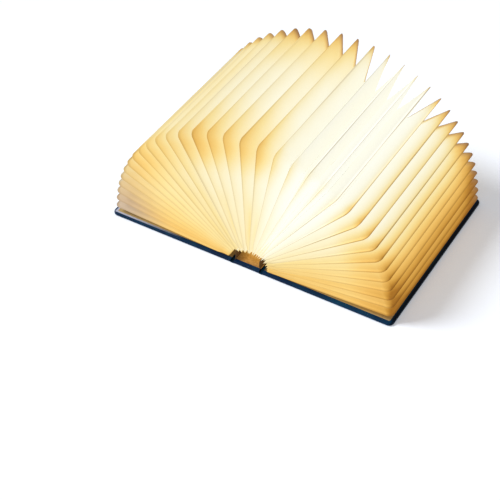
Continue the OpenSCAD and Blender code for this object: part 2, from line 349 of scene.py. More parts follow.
def paper_material():
    """Translucent paper, lit from inside.

    Attribute glow is how much light comes through; the other two are painted shade:
    how far the paper turns grey-beige, and how dark its folded edges are drawn.
    """
    g = Graph("pleat_paper")
    _, _, _, vector = g.position()
    glow = g.attribute("glow")
    dim_shade = g.attribute("dim_shade")
    mottle = g.noise(vector, 55, 3, 0.5)
    fibre = g.noise(vector, 420, 2, 0.6)
    level = glow + (mottle - 0.5) * 0.05 + (fibre - 0.5) * 0.025
    lit = g.ramp(level, [
        (0.00, srgb("B27A2C")),
        (0.10, srgb("D09A40")),
        (0.20, srgb("E4B256")),
        (0.32, srgb("F4C66C")),
        (0.44, srgb("FCD986")),
        (0.56, srgb("FEE9A8")),
        (0.70, srgb("FFF5D0")),
        (0.84, srgb("FFFCE9")),
        (0.95, srgb("FFFFF6")),
    ])
    # painted shade: the grey-beige of paper that little light comes through
    pale = g.mix(mottle, srgb("B8A494"), srgb("D2BEA8"))
    colour = g.mix(dim_shade, lit, pale)
    # painted shade darkens the folds, the fore edges low on the left and the far tips
    shade = g.mix(1.0, colour, srgb("B4A48E"), "MULTIPLY")
    colour = g.mix(g.attribute("crease_shade") * 0.8, colour, shade)
    base = g.mix(1.0, colour, (0.30, 0.30, 0.30, 1), "MULTIPLY")
    return g.finish(
        Base_Color=base, Roughness=0.75, Specular_IOR_Level=0.2,
        Emission_Color=colour, Emission_Strength=0.71,
        Normal=g.bump(sheet_grain(g, vector), 0.25, 0.0003))


def foil_design(g, x, y):
    """Gold print: 1 on the foil. x and y are metres from the panel's middle, x across."""
    ax = abs(x)
    ay = abs(y)
    # distance inside the border's edge
    edge = g.math("MINIMUM", PRINT_HALF_X - ax, PRINT_HALF_Y - ay)

    def line(value, centre, width):
        return abs(value - centre * MM).below(width * MM / 2, 0.18 * MM)

    border = g.math("MAXIMUM", line(edge, 1.0, 0.9), line(edge, 3.2, 0.5))
    border = g.math("MAXIMUM", border, line(edge, 9.5, 0.6))
    # lattice of crossing waves with a small four-point star in each mesh
    wave_x = 2 * math.pi / LATTICE_X
    wave_y = 2 * math.pi / LATTICE_Y
    sx = g.math("COSINE", x * wave_x)
    sy = g.math("COSINE", y * wave_y)
    net = abs(sx + sy).below(0.10, 0.05)
    inside = (FIELD_INSET - edge).below(0.0, 0.2 * MM)
    px = abs(g.math("SINE", x * (wave_x / 2)))
    py = abs(g.math("SINE", y * (wave_y / 2)))
    star_a = (g.math("POWER", px, 0.55) + g.math("POWER", py, 0.55)).below(0.72, 0.05)
    qx = abs(g.math("COSINE", x * (wave_x / 2)))
    qy = abs(g.math("COSINE", y * (wave_y / 2)))
    star_b = (g.math("POWER", qx, 0.55) + g.math("POWER", qy, 0.55)).below(0.72, 0.05)
    field = g.math("MAXIMUM", net, g.math("MAXIMUM", star_a, star_b)) * inside
    # row of beads between the border lines
    bead_x = abs(g.math("SINE", x * (math.pi / BEAD_PITCH)))
    bead_y = abs(g.math("SINE", y * (math.pi / BEAD_PITCH)))
    near_x = (PRINT_HALF_X - ax).below(BEAD_BAND, 0.1 * MM)
    along = g.math("ADD", bead_y * near_x, bead_x * (1.0 - near_x))
    off = abs(edge - BEAD_TRACK) / BEAD_HALF_W
    bead = (along * along * 1.3 + off * off).below(0.35, 0.12)
    # round panel in the middle: rings and a wave-edged rosette
    radius = g.math("SQRT", x * x + y * y)
    angle = g.math("ARCTAN2", y, x)
    petals = (g.math("COSINE", angle * 12.0) * 2.2 + 15.5) * MM
    rosette = abs(radius - petals).below(0.35 * MM, 0.2 * MM)
    petals_in = (g.math("COSINE", angle * 6.0) * 3.0 + 8.0) * MM
    heart = abs(radius - petals_in).below(0.4 * MM, 0.2 * MM)
    rings = g.math("MAXIMUM", line(radius, 20.0, 0.7), line(radius, 21.8, 0.4))
    panel = radius.below(PANEL_R, 0.2 * MM)
    middle = g.math("MAXIMUM", g.math("MAXIMUM", rosette, heart), rings)
    return g.math("MAXIMUM", g.math("MAXIMUM", border, bead),
                  g.math("MAXIMUM", field * (1.0 - panel), middle), clamp=True)


def printed_wrap_material(name, kind):
    """Laminated print: a night sky in blue and teal with a gold foil pattern.

    kind is front, back or spine.
    """
    g = Graph(name)
    x, y, z, vector = g.position()
    cloud = g.noise(vector, 13, 6, 0.55, 0.6)
    drift = g.noise(g.scaled(vector, (1.0, 0.6, 1.0)), 26, 5, 0.6, 1.2)
    sky = g.ramp(cloud, [
        (0.25, srgb("050F20")), (0.42, srgb("08264A")), (0.52, srgb("0B4068")),
        (0.62, srgb("0F5E84")), (0.78, srgb("1B55A8"))])
    haze = g.ramp(drift, [(0.45, srgb("0A2340")), (0.60, srgb("0E5C74")), (0.75, srgb("2A3FA0"))])
    sky = g.mix(0.4, sky, haze)
    distance, tint = g.cells(vector, 420)
    bright = g.node("ShaderNodeSeparateColor")
    g.feed(bright.inputs[0], tint)
    lucky = g.math("GREATER_THAN", Socket(g, bright.outputs[0]), 0.86)
    star = distance.below(0.14, 0.10) * lucky
    sky = g.mix(star * 0.6, sky, srgb("8FC4E6"))
    if kind == "spine":
        bands = g.math("SINE", y * (2 * math.pi / SPINE_PITCH))
        ax = abs(x)
        rule = abs(bands).below(0.05, 0.03) * ax.below(10 * MM, 0.3 * MM)
        dy = abs(g.math("COSINE", y * (math.pi / SPINE_PITCH))) * 22.0 * MM
        diamond = abs(ax + dy * 0.8 - 7.0 * MM).below(0.4 * MM, 0.2 * MM)
        foil = g.math("MAXIMUM", rule, diamond)
    else:
        side = -1 if kind == "front" else 1
        middle = side * (BOARD_X + FORE_X) / 2
        foil = foil_design(g, x - middle, y)
    under = z.below(0.25 * MM, 0.1 * MM)
    worn = g.noise(vector, 700, 3, 0.6)
    foil = foil * under * g.ramp(worn, [(0.30, (0, 0, 0, 1)), (0.40, (1, 1, 1, 1))])
    gold = g.ramp(g.noise(vector, 90, 2, 0.5), [(0.3, srgb("B98F45")), (0.7, srgb("E3C47E"))])
    colour = g.mix(foil, sky, gold)
    # the edges are darker, and the front cover's turned-in margin gets a painted highlight
    edge = 1.0 - z.below(0.8 * MM, 0.8 * MM)
    colour = g.mix(edge * 0.7, colour, srgb("011C3C"))
    if kind == "back":
        # painted shade: the back cover's fore edge darkened to near black
        fore = 1.0 - x.below(FORE_X - 2.5 * MM, 1.5 * MM)
        colour = g.mix(edge * fore * 0.75, colour, srgb("02060C"))
    if kind == "front":
        # painted highlight: pale lavender on the margin's top, mottled, strongest towards the fore
        # edge
        highlight_mottle = g.noise(g.scaled(vector, (1, 1, 3)), 160, 4, 0.6)
        margin = g.math("MAXIMUM", abs(y) - HALF_LENGTH,
                        abs(x) - FORE_X)
        inner = margin.below(-2.1 * MM, 0.6 * MM) * (1.0 - z.below(CASE_T - 0.1 * MM, 0.1 * MM))
        along = g.math("ADD", (-0.075 - x) / 0.07, 0.0, clamp=True)
        colour = g.mix(inner * along * (0.4 + highlight_mottle), colour, srgb("B4B8CC"))
    grain = g.noise(vector, 1500, 3, 0.6)
    return g.finish(
        Base_Color=colour,
        Metallic=foil * 0.75,
        Roughness=0.40 - foil * 0.10 + (grain - 0.5) * 0.12,
        Specular_IOR_Level=0.07,
        Normal=g.bump(grain + foil * 0.4, 0.15, 0.0002))


def plain_material(name, colour, roughness, metallic=0.0, grain=600, spread=0.12, bump=0.15,
                   depth=0.0002, stretch=(1, 1, 1), emission=None, strength=0.0):
    """Simple surface with mottled colour, uneven roughness and fine relief."""
    g = Graph(name)
    _, _, _, vector = g.position()
    vector = g.scaled(vector, stretch)
    fine = g.noise(vector, grain, 4, 0.6)
    broad = g.noise(vector, grain / 12, 3, 0.5)
    dark = tuple(c * (1 - spread) for c in colour[:3]) + (1,)
    light = tuple(min(1.0, c * (1 + spread)) for c in colour[:3]) + (1,)
    inputs = {}
    if emission is not None:
        inputs = {"Emission_Color": emission, "Emission_Strength": strength}
    return g.finish(
        Base_Color=g.ramp(fine * 0.5 + broad * 0.5, [(0.3, dark), (0.7, light)]),
        Roughness=roughness + (broad - 0.5) * 0.2,
        Metallic=metallic,
        Normal=g.bump(fine, bump, depth),
        **inputs)


def liner_material():
    """Inside of the hollow: paper that the lamp lights from the middle of the spine."""
    g = Graph("spine_liner")
    x, y, _, vector = g.position()
    away = abs(y)
    lit = g.ramp((away - 0.080) / 0.025, [
        (0.0, srgb("F0B24C")), (0.40, srgb("D99A36")),
        (0.75, srgb("A87024")), (1.0, srgb("4A3014"))])
    fibre = g.noise(vector, 500, 3, 0.6)
    shade = g.mix(0.25, lit, g.ramp(fibre, [(0.3, srgb("3A2810")), (0.7, srgb("F0C070"))]))
    # painted shade: darker towards the front cover's side
    shade = g.mix(x.below(-9 * MM, 9 * MM) * 0.6, shade, srgb("3E2A10"))
    base = g.mix(1.0, shade, (0.6, 0.6, 0.6, 1), "MULTIPLY")
    return g.finish(Base_Color=base, Roughness=0.8, Emission_Color=shade, Emission_Strength=0.45,
                    Normal=g.bump(fibre, 0.2, 0.0002))


def endpaper_material():
    """Plain paper glued to the boards, with painted fan shade near the hinge and painted glow."""
    g = Graph("endpaper")
    x, _, _, vector = g.position()
    from_hinge = (abs(x) - HINGE_X) / (16 * MM)
    shade = g.ramp(from_hinge, [
        (0.0, srgb("4A3618")), (0.35, srgb("6A5028")), (1.0, srgb("A08A5C"))])
    fibre = g.noise(vector, 500, 3, 0.6)
    colour = g.mix(0.12, shade, g.ramp(fibre, [(0.3, srgb("50401F")), (0.7, srgb("D8C08A"))]))
    return g.finish(Base_Color=colour, Roughness=0.8, Emission_Color=shade, Emission_Strength=0.12,
                    Normal=g.bump(fibre, 0.2, 0.0002))


def cloth_material(name, colour, emission, strength):
    """Woven book cloth, lit by the lamp."""
    g = Graph(name)
    x, y, z, vector = g.position()
    warp = g.math("SINE", y * (2 * math.pi / WEAVE_PITCH))
    weft = g.math("SINE", (x + z) * (2 * math.pi / WEAVE_PITCH))
    weave = g.math("MAXIMUM", warp, weft)
    fibre = g.noise(vector, 600, 3, 0.6)
    dark = tuple(c * 0.7 for c in colour[:3]) + (1,)
    shade = g.ramp(weave * 0.3 + fibre * 0.7, [(0.2, dark), (0.8, colour)])
    return g.finish(Base_Color=shade, Roughness=0.85, Normal=g.bump(weave, 0.3, 0.0002),
                    Emission_Color=emission, Emission_Strength=strength)


# ---------------------------------------------------------------- paper fan
def fan_share(k):
    """Place of leaf k in the fan, -1 for the first and 1 for the last."""
    return -1 + 2 * (k - 1) / (PLEATS - 1)


def fan_spread(s):
    """The same place, with the leaves further apart at the top than at the covers."""
    return s + FAN_BIAS * math.sin(math.pi * s) / math.pi


def leaf_plane(k):
    """Root x and z, and direction in degrees, of leaf k; k + 0.5 is the valley beyond it."""
    angle = 90 - FAN_HALF_ANGLE * fan_spread(fan_share(k))
    on_arch = math.radians(90 + (angle - 90) * 90 / FAN_HALF_ANGLE)
    x = ARCH_HALF_W * math.cos(on_arch)
    if k < 1:
        return x, SEAT_Z, 180.0
    if k > PLEATS:
        return x, SEAT_Z, 0.0
    return x, ARCH_FOOT_Z + ARCH_RISE * math.sin(on_arch), angle


def on_leaf(plane, u, y):
    """The point u out from a leaf's root, at y."""
    x, z, angle = plane
    a = math.radians(angle)
    return Vector((x + u * math.cos(a), y, z + u * math.sin(a)))


LEG_STEPS = 22
CORNER_STEPS = 9
FORE_STEPS = 18


def outline(inset, radius):
    """A leaf's outline as (u, y), out along the near end and back along the far end."""
    length = LEAF_LENGTH - inset
    half = PAPER_HALF_Y - inset
    leg = length - radius
    points = [(leg * i / LEG_STEPS, -half) for i in range(LEG_STEPS)]
    for i in range(CORNER_STEPS + 1):
        a = math.radians(-90 + 90 * i / CORNER_STEPS)
        points.append((leg + radius * math.cos(a), -half + radius * (1 + math.sin(a))))
    straight = half - radius
    points += [(length, lerp(-straight, straight, i / FORE_STEPS)) for i in range(1, FORE_STEPS)]
    for i in range(CORNER_STEPS + 1):
        a = math.radians(90 * i / CORNER_STEPS)
        points.append((leg + radius * math.cos(a), half - radius * (1 - math.sin(a))))
    points += [(leg * i / LEG_STEPS, half) for i in range(LEG_STEPS - 1, -1, -1)]
    return points


RIDGE_LINE = outline(0, PLEAT_CORNER_R)
VALLEY_LINE = outline(PLEAT_DEPTH, PLEAT_INNER_R)
# Places across a flank, 0 at the ridge and 1 at the valley
FLANK = [0, 0.012, 0.03, 0.08, 0.18, 0.32, 0.48, 0.64, 0.8, 0.92, 1.0]


def fore_share(i):
    """0 on a pleat's two ends, 1 on its fore edge, in between round its corners."""
    from_near = (i - LEG_STEPS) / CORNER_STEPS
    from_far = (len(RIDGE_LINE) - 1 - i - LEG_STEPS) / CORNER_STEPS
    return max(0.0, min(1.0, from_near, from_far))


def light_of_leaf(height, fore, t, angle, side):
    """Level from the leaf's place in the fan, on its ends and on its fore edge."""
    # the lamp shines through the ends most a little right of the middle
    on_ends = 0.40 + 0.44 * height ** 0.9 + 0.16 * bell(angle, 56, 26)
    if angle > 90 and side == 1:
        on_fore = 0.58 + 0.28 * height
        fore_drop = 0.18
    else:
        on_fore = 0.25 + 0.65 * smooth(angle, -6, 38) + 0.08 * smooth(-angle, -9, -5)
        fore_drop = 0.38 * (1 - smooth(angle, 46, 54)) + 0.22 * smooth(angle, 74, 84)
    end_drop = 0.05 + 0.08 * smooth(height, 0.0, 0.4) + 0.06 * smooth(height, 0.6, 0.9)
    return lerp(on_ends, on_fore, fore) - lerp(end_drop, fore_drop, fore) * (1 - t) ** 2.2


def light_lost_inside(u, away, fore, t, angle, amber):
    """Level lost between neighbouring leaves and near the roots, less what the middle gains."""
    # the upright leaves left of the middle are in the shade of their neighbours
    shaded = smooth(angle, 78, 88) * (1 - smooth(angle, 110, 128))
    lost = 0.18 * shaded * smooth(u, 0.085, 0.130) * smooth(away, 0.015, 0.085)
    lost += 0.07 * bell(angle, 86, 8)
    # near the roots some of them take less light than others
    near_root = (1 - smooth(u, 0.015, 0.085)) * smooth(angle, 50, 75) * (1 - fore)
    lost += amber * near_root * smooth(t, 0.05, 0.4)
    # the middle of the ends is close to white
    return lost - 0.05 * bell(angle, 66, 18) * smooth(u, 0.03, 0.08) * (1 - fore)


def light_lost_outside(u, away, fore, t, angle, height, at_tip, unevenness):
    """Level lost at the places furthest from the lamp."""
    # the leaves on the right are dimmer towards their ends
    lost = 0.10 * (1 - smooth(angle, 44, 54)) * smooth(away, 0.05, 0.09) * (1 - t) * fore
    # the far end's tips and the corners are furthest out
    lost += at_tip * (1 - t) ** 1.5 * (0.14 + 0.20 * height)
    corner = smooth(away, 0.074, 0.098) * smooth(u, 0.085, 0.132)
    dim = lerp(0.20, 0.12, smooth(angle, 45, 65)) * (1 - 0.8 * smooth(angle, 145, 165))
    return lost + (dim + unevenness) * corner * (1 - t) ** 0.8


def crease_shade_at(out, fore, t, angle, side):
    """How dark the painted shade along the folded edge is."""
    crease_shade = (1 - smooth(t, 0.012, 0.07)) * (0.6 + 0.4 * out)
    crease_shade *= lerp(1.0, 0.45, smooth(angle, 50, 75))
    crease_shade *= lerp(0.7, 1.0, smooth(angle, 15, 35))
    crease_shade *= lerp(1.0, 0.65, smooth(angle, 130, 155) * (1 - fore))
    # painted shade: lighter on the left fore edges, and low on the left it outlines them
    if side == 1:
        silhouette = lerp(0.4, 2.2, smooth(angle, 138, 152))
        crease_shade *= lerp(1.0, silhouette, smooth(angle, 90, 100) * fore)
    return crease_shade


def light_at(point, u, fore, t, angle, side, uneven):
    """Light through the paper, painted shade that greys it, and painted shade on the fold: 0 to 1.
    """
    height = math.sin(math.radians(max(0.0, min(180.0, angle))))
    out = smooth(u, 0.02, 0.10)
    away = abs(point.y)
    at_tip = smooth(point.y, PAPER_HALF_Y - 13 * MM, PAPER_HALF_Y) * out
    level = light_of_leaf(height, fore, t, angle, side) + uneven[0]
    level -= light_lost_inside(u, away, fore, t, angle, uneven[2])
    level -= light_lost_outside(u, away, fore, t, angle, height, at_tip, uneven[1])
    # painted shade: low on the left and at the far tips the paper turns grey-beige
    low = max(0.0, 1 - height / 0.55)
    dim_shade = low * smooth(angle, 90, 100) * lerp(1.0, 0.4, smooth(point.y, -0.095, 0.060))
    dim_shade *= smooth(abs(point.x), 0.080, 0.152)
    dim_shade = max(dim_shade, 0.35 * at_tip * (1 - t))
    # painted shade on the folds and at the far tips
    crease_shade = max(crease_shade_at(out, fore, t, angle, side), 0.6 * at_tip * (1 - t) ** 4)
    return max(0.0, min(1.0, level)), min(0.9, dim_shade), min(1.0, crease_shade)


def inner_skin(rows):
    """The points one thickness of paper inside each row of the outer skin."""
    inner = []
    for row in rows:
        centre = len(row) // 2
        for j, p in enumerate(row):
            if j == centre:
                inward = (lerp(row[0], row[-1], 0.5) - p).normalized()
                inner.append(p + inward * PAPER_T * 3)
            else:
                across = row[-1 - j] - p
                inner.append(p + across.normalized() * min(PAPER_T, 0.4 * across.length))
    return inner


def shell_faces(length, count):
    """Faces of two skins of length x count points, joined round their rim."""
    size = length * count
    faces = []
    for i in range(length - 1):
        for j in range(count - 1):
            a, b = i * count + j, i * count + j + 1
            c, d = b + count, a + count
            faces.append((a, b, c, d))
            faces.append((size + d, size + c, size + b, size + a))
    for i in range(length - 1):
        for j, turn in ((0, False), (count - 1, True)):
            a, d = i * count + j, (i + 1) * count + j
            quad = (a, d, size + d, size + a)
            faces.append(quad[::-1] if turn else quad)
    for i, turn in ((0, True), (length - 1, False)):
        for j in range(count - 1):
            a, b = i * count + j, i * count + j + 1
            quad = (a, b, size + b, size + a)
            faces.append(quad[::-1] if turn else quad)
    return faces


def make_pleat(k, material):
    """One folded sheet: an outer and an inner skin joined round its rim."""
    ridge_plane = leaf_plane(k)
    sides = [leaf_plane(k - 0.5), leaf_plane(k + 0.5)]
    rng = random.Random(1000 + k)
    sway = [rng.uniform(-1, 1) * SWAY for _ in range(3)]
    uneven = rng.uniform(-0.04, 0.04), rng.uniform(-0.05, 0.09), AMBER_LEAVES.get(k, 0.0)
    across = [(0, t) for t in reversed(FLANK)] + [(1, t) for t in FLANK[1:]]
    rows, light = [], []
    for i, (ridge, valley) in enumerate(zip(RIDGE_LINE, VALLEY_LINE)):
        along = i / (len(RIDGE_LINE) - 1)
        nip = NIP * (k % 2) * (1 - smooth(ridge[0], 0.0, 0.014))
        crest = on_leaf(ridge_plane, ridge[0], ridge[1] - math.copysign(nip, ridge[1]))
        middle = on_leaf(ridge_plane, *valley)
        free = math.sin(math.pi * along)
        wobble = sum(a * math.sin((n + 2) * math.pi * along) for n, a in enumerate(sway)) * free
        row, levels = [], []
        for side, t in across:
            fold = on_leaf(sides[side], *valley)
            gap = min(VALLEY_GAP, 0.2 * (fold - middle).length)
            fold = fold + (middle - fold).normalized() * gap
            flank = fold - crest
            normal = (fold - middle).normalized()
            bow = math.sin(math.pi * t) * min(BOW, 0.07 * (fold - middle).length)
            point = crest + flank * t - normal * bow + normal * wobble * (1 - t)
            row.append(point)
            levels.append(
                light_at(point, ridge[0], fore_share(i), t, ridge_plane[2], side, uneven))
        rows.append(row)
        light.extend(levels)
    points = [p for row in rows for p in row] + inner_skin(rows)
    faces = shell_faces(len(rows), len(across))
    piece = make_mesh(f"paper_{k:02d}", points, faces, material, sharp_angle=50)
    for i, kind in enumerate(("glow", "dim_shade", "crease_shade")):
        values = piece.data.attributes.new(kind, "FLOAT", "POINT")
        values.data.foreach_set("value", [level[i] for level in light] * 2)
    node = f"pleat_{k:02d}"
    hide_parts(node)
    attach(piece, node)
    fore_fold = VALLEY_LINE[LEG_STEPS + CORNER_STEPS]
    width = (on_leaf(sides[0], *fore_fold) - on_leaf(sides[1], *fore_fold)).length
    root = on_leaf(ridge_plane, 0, 0)
    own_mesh(piece)
    return piece


def make_fan(paper):
    for k in range(1, PLEATS + 1):
        make_pleat(k, paper)


# ---------------------------------------------------------------- case
def groove_lift(x):
    """How far the underside rises into the joint groove at distance x from the middle."""
    x0 = COVER_EDGE_X + BEND_W
    x1 = BOARD_X - 0.35 * MM
    if x <= x0 or x >= x1:
        return 0.0
    t = (x - x0) / (x1 - x0)
    return GROOVE_DEPTH * math.sin(math.pi * t) ** 0.6


def cover_loop(inset):
    """Half of a cover's edge, out from the hinge and round the corner, as (x, y) with y > 0."""
    half = HALF_LENGTH - inset
    r = CORNER_R - inset
    points = []
    stations = [COVER_EDGE_X + (BOARD_X - COVER_EDGE_X) * i / 12 for i in range(13)]
    stations += [lerp(BOARD_X, FORE_X - CORNER_R, i / 14) for i in range(1, 15)]
    for x in stations:
        points.append((x, half))
    for i in range(1, 9):
        a = math.radians(90 * i / 8)
        points.append((FORE_X - CORNER_R + r * math.sin(a),
                       HALF_LENGTH - CORNER_R + r * math.cos(a)))
    return points


def rim_section(lip):
    """The wrap round a board as (inset, z): from its turned-in end, lip deep, to the underside."""
    arc = [math.radians(a) for a in (0, 22.5, 45, 67.5, 90)]
    section = [(TURN_IN, CASE_T - lip), (TURN_IN, CASE_T), (EDGE_R * 1.6, CASE_T)]
    section += [(EDGE_R * (1 - math.sin(a)), CASE_T - EDGE_R * (1 - math.cos(a))) for a in arc]
    section += [(EDGE_R * (1 - math.cos(a)), EDGE_R * (1 - math.sin(a))) for a in arc]
    return section


def make_cover(name, side, body, nodes, material):
    """Wrap of one cover: closed shell with soft edges, a joint groove and a turned-in rim."""
    rings = rim_section(0.42 * MM) + [(EDGE_R * 1.6, 0.0)]
    rows = 24
    points = []

    def add(x, y, z):
        lift = groove_lift(x) * (1 - z / CASE_T) * smooth(HALF_LENGTH - abs(y), 0.0, 5 * MM)
        points.append(Vector((side * x, y, z + lift)))
        return len(points) - 1

    loops = []
    for inset, z in rings:
        half_loop = cover_loop(inset)
        near = [add(x, -y, z) for x, y in half_loop]
        x_end, y_end = half_loop[-1]
        fore = [add(x_end, lerp(-y_end, y_end, i / rows), z) for i in range(1, rows)]
        far = [add(x, y, z) for x, y in reversed(half_loop)]
        loops.append(near + fore + far)
    faces = []
    for a, b in zip(loops, loops[1:]):
        for i in range(len(a) - 1):
            faces.append((a[i], a[i + 1], b[i + 1], b[i]))

    def fill(loop, inset, z, flip):
        half_loop = cover_loop(inset)
        n = len(half_loop)
        grid = []
        for i, (x, y) in enumerate(half_loop):
            if i == n - 1:
                grid.append(loop[n - 1:n + rows])
                continue
            inner = [add(x, lerp(-y, y, j / rows), z) for j in range(1, rows)]
            grid.append([loop[i]] + inner + [loop[-1 - i]])
        for a, b in zip(grid, grid[1:]):
            for j in range(rows):
                quad = (a[j], a[j + 1], b[j + 1], b[j])
                faces.append(quad[::-1] if flip else quad)
        return grid[0]

    top = fill(loops[0], *rings[0], flip=True)
    bottom = fill(loops[-1], *rings[-1], flip=False)
    end = top + [loop[-1] for loop in loops[1:]]
    end += bottom[-2:0:-1] + [loop[0] for loop in loops[:0:-1]]
    faces.append(tuple(end))
    if side > 0:
        faces = [f[::-1] for f in faces]
    piece = make_mesh(name, points, faces, material, sharp_angle=40)
    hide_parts(*nodes)
    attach(piece, body)
    return piece


def make_spine(material):
    """Wrap of the spine: a strip with soft ends, turned in over the board."""
    section = rim_section(0.38 * MM)
    profile = [(-HALF_LENGTH + inset, z) for inset, z in section]
    profile += [(HALF_LENGTH - inset, z) for inset, z in reversed(section)]
    across = 8
    points = [Vector((lerp(-SPINE_HALF_W, SPINE_HALF_W, i / across), y, z))
              for i in range(across + 1) for y, z in profile]
    n = len(profile)
    faces = []
    for i in range(across):
        for j in range(n):
            m = (j + 1) % n
            faces.append((i * n + j, i * n + m, (i + 1) * n + m, (i + 1) * n + j))
    faces.append(tuple(range(n))[::-1])
    faces.append(tuple(across * n + j for j in range(n)))
    piece = make_mesh("spine_cover", points, faces, material, sharp_angle=40)
    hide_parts("spine_wrap")
    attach(piece, "spine")
    return piece


def make_joint(name, side, node, material):
    """Flexible strip of the wrap between spine and cover."""
    low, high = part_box(node)
    x0, x1 = (low.x, high.x) if side > 0 else (high.x, low.x)
    x0 -= side * 0.05 * MM
    x1 += side * 0.05 * MM
    # fewer columns up to the fold line, more beyond it
    fold = side * (HINGE_X - 0.45 * MM)
    columns = [lerp(x0, fold, i / 5) for i in range(5)]
    columns += [lerp(fold, x1, i / 10) for i in range(11)]
    rows = 30
    points = []
    for z in (low.z, high.z):
        for x in columns:
            for j in range(rows + 1):
                points.append(Vector((x, lerp(low.y, high.y, j / rows), z)))
    faces = slab_faces(len(columns) - 1, rows)
    if side < 0:
        faces = [f[::-1] for f in faces]
    piece = make_mesh(name, points, faces, material, sharp_angle=40)
    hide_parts(node)
    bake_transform(piece)
    return piece


def make_case():
    front = printed_wrap_material("printed_wrap_front", "front")
    back = printed_wrap_material("printed_wrap_back", "back")
    spine = printed_wrap_material("printed_wrap_spine", "spine")
    make_cover("front_cover_wrap", -1, "front_cover", ["front_wrap"], front)
    make_cover("back_cover_wrap", 1, "back_cover", ["back_wrap"], back)
    make_spine(spine)
    make_joint("front_joint", -1, "front_joint_cloth", spine)
    make_joint("back_joint", 1, "back_joint_cloth", spine)


# ---------------------------------------------------------------- hollow under the roots
def make_strip(name, section, y0, y1, thick, material, rows=10):
    """Cloth strip: a section of (x, z, normal x, normal z) run along Y; and its flat size."""
    points = []
    for layer in (0, 1):
        for x, z, nx, nz in section:
            for j in range(rows + 1):
                y = lerp(y0, y1, j / rows)
                points.append(Vector((x - nx * thick * layer, y, z - nz * thick * layer)))
    faces = slab_faces(len(section) - 1, rows)
    piece = make_mesh(name, points, faces, material, sharp_angle=50)
    width = sum(math.dist(a[:2], b[:2]) for a, b in zip(section, section[1:]))
    return piece, (width, y1 - y0)


def make_root_teeth(end, material):
    """Folded roots of the leaves, where they hang below the cloth at one end of the hollow."""
    rng = random.Random(7 if end < 0 else 8)
    points, faces = [], []

    def on_arch(k, depth, y):
        angle = math.radians(90 - 90 * fan_spread(fan_share(k)))
        return Vector(((ARCH_HALF_W - depth) * math.cos(angle), y,
                       ARCH_FOOT_Z + (ARCH_RISE - depth) * math.sin(angle)))

    for k in range(1, PLEATS + 1):
        root = on_arch(k, 0.2 * MM, 0)
        if abs(root.x) > TEETH_HALF_W:
            continue
        depth = (3.4 + 1.8 * (k % 2) + rng.uniform(-0.5, 0.5)) * MM
        ridge_y = end * (PAPER_HALF_Y - (1.2 + 1.2 * (k % 2)) * MM)
        fold_y = end * (PAPER_HALF_Y - 8 * MM)
        first = len(points)
        points += [on_arch(k, 0.2 * MM, ridge_y), on_arch(k - 0.46, 0.4 * MM, fold_y),
                   on_arch(k + 0.46, 0.4 * MM, fold_y),
                   on_arch(k, depth, ridge_y - end * 0.8 * MM)]
        for face in ((0, 1, 3), (0, 3, 2), (1, 2, 3), (0, 2, 1)):
            face = tuple(first + i for i in face)
            faces.append(face if end < 0 else face[::-1])
    piece = make_mesh(f"{'near' if end < 0 else 'far'}_root_folds", points, faces, material)
    levels = piece.data.attributes.new("glow", "FLOAT", "POINT")
    levels.data.foreach_set("value", [TOOTH_GLOW[i % 4] for i in range(len(points))])
    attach(piece, "page_block")
    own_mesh(piece)


def make_tape(end, cloth):
    """Cloth that the roots are glued to, at the near or the far end of the hollow."""
    node = f"{end}_root_tape"
    low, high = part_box(node)
    section = []
    for i in range(TAPE_STEPS + 1):
        a = math.radians(90 + TAPE_HALF_ANGLE - 2 * TAPE_HALF_ANGLE * i / TAPE_STEPS)
        section.append(((ARCH_HALF_W - TAPE_DROP) * math.cos(a),
                        ARCH_FOOT_Z + (ARCH_RISE - TAPE_DROP) * math.sin(a),
                        math.cos(a), math.sin(a)))
    # short of the leaves' ends, so the roots show as teeth, and past their inner folds
    y0 = low.y + (4 if end == "near" else -3) * MM
    y1 = high.y - (4 if end == "far" else -3) * MM
    piece, flat = make_strip(f"{end}_tape", section, y0, y1, CLOTH_T, cloth)
    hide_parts(node)
    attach(piece, "page_block")
    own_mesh(piece)


def make_webs(cloth):
    """Side walls of the hollow, one on each side at each end."""
    low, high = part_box("root_webs")
    inner_y = PAPER_HALF_Y - PLEAT_DEPTH
    webs = []
    for side in (-1, 1):
        for end in (-1, 1):
            y0, y1 = sorted((end * inner_y, end * PAPER_HALF_Y))
            section = []
            for i in range(WEB_STEPS + 1):
                t = i / WEB_STEPS
                bow = WEB_BOW * math.sin(math.pi * t)
                section.append((side * (high.x - bow), lerp(high.z, low.z, t), side, 0))
            if side > 0:
                section = section[::-1]
            name = f"web_{'front' if side < 0 else 'back'}_{'near' if end < 0 else 'far'}"
            web, flat = make_strip(name, section, y0, y1, CLOTH_T, cloth)
            webs.append(web)
    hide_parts("root_webs")
    for web in webs:
        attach(web, "spine")
        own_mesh(web)


def make_root_cloth(paper):
    cloth = cloth_material("root_cloth", srgb("B8A888"), srgb("FFF0CC"), 0.7)
    web_cloth = cloth_material("web_cloth", srgb("5A3F1E"), srgb("6E4414"), 0.14)
    make_root_teeth(-1, paper)
    make_root_teeth(1, paper)
    for end in ("near", "far"):
        make_tape(end, cloth)
    make_webs(web_cloth)


# ---------------------------------------------------------------- CAD nodes that stay
def dress(node, material):
    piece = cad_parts[node]
    piece.data.materials.clear()
    piece.data.materials.append(material)


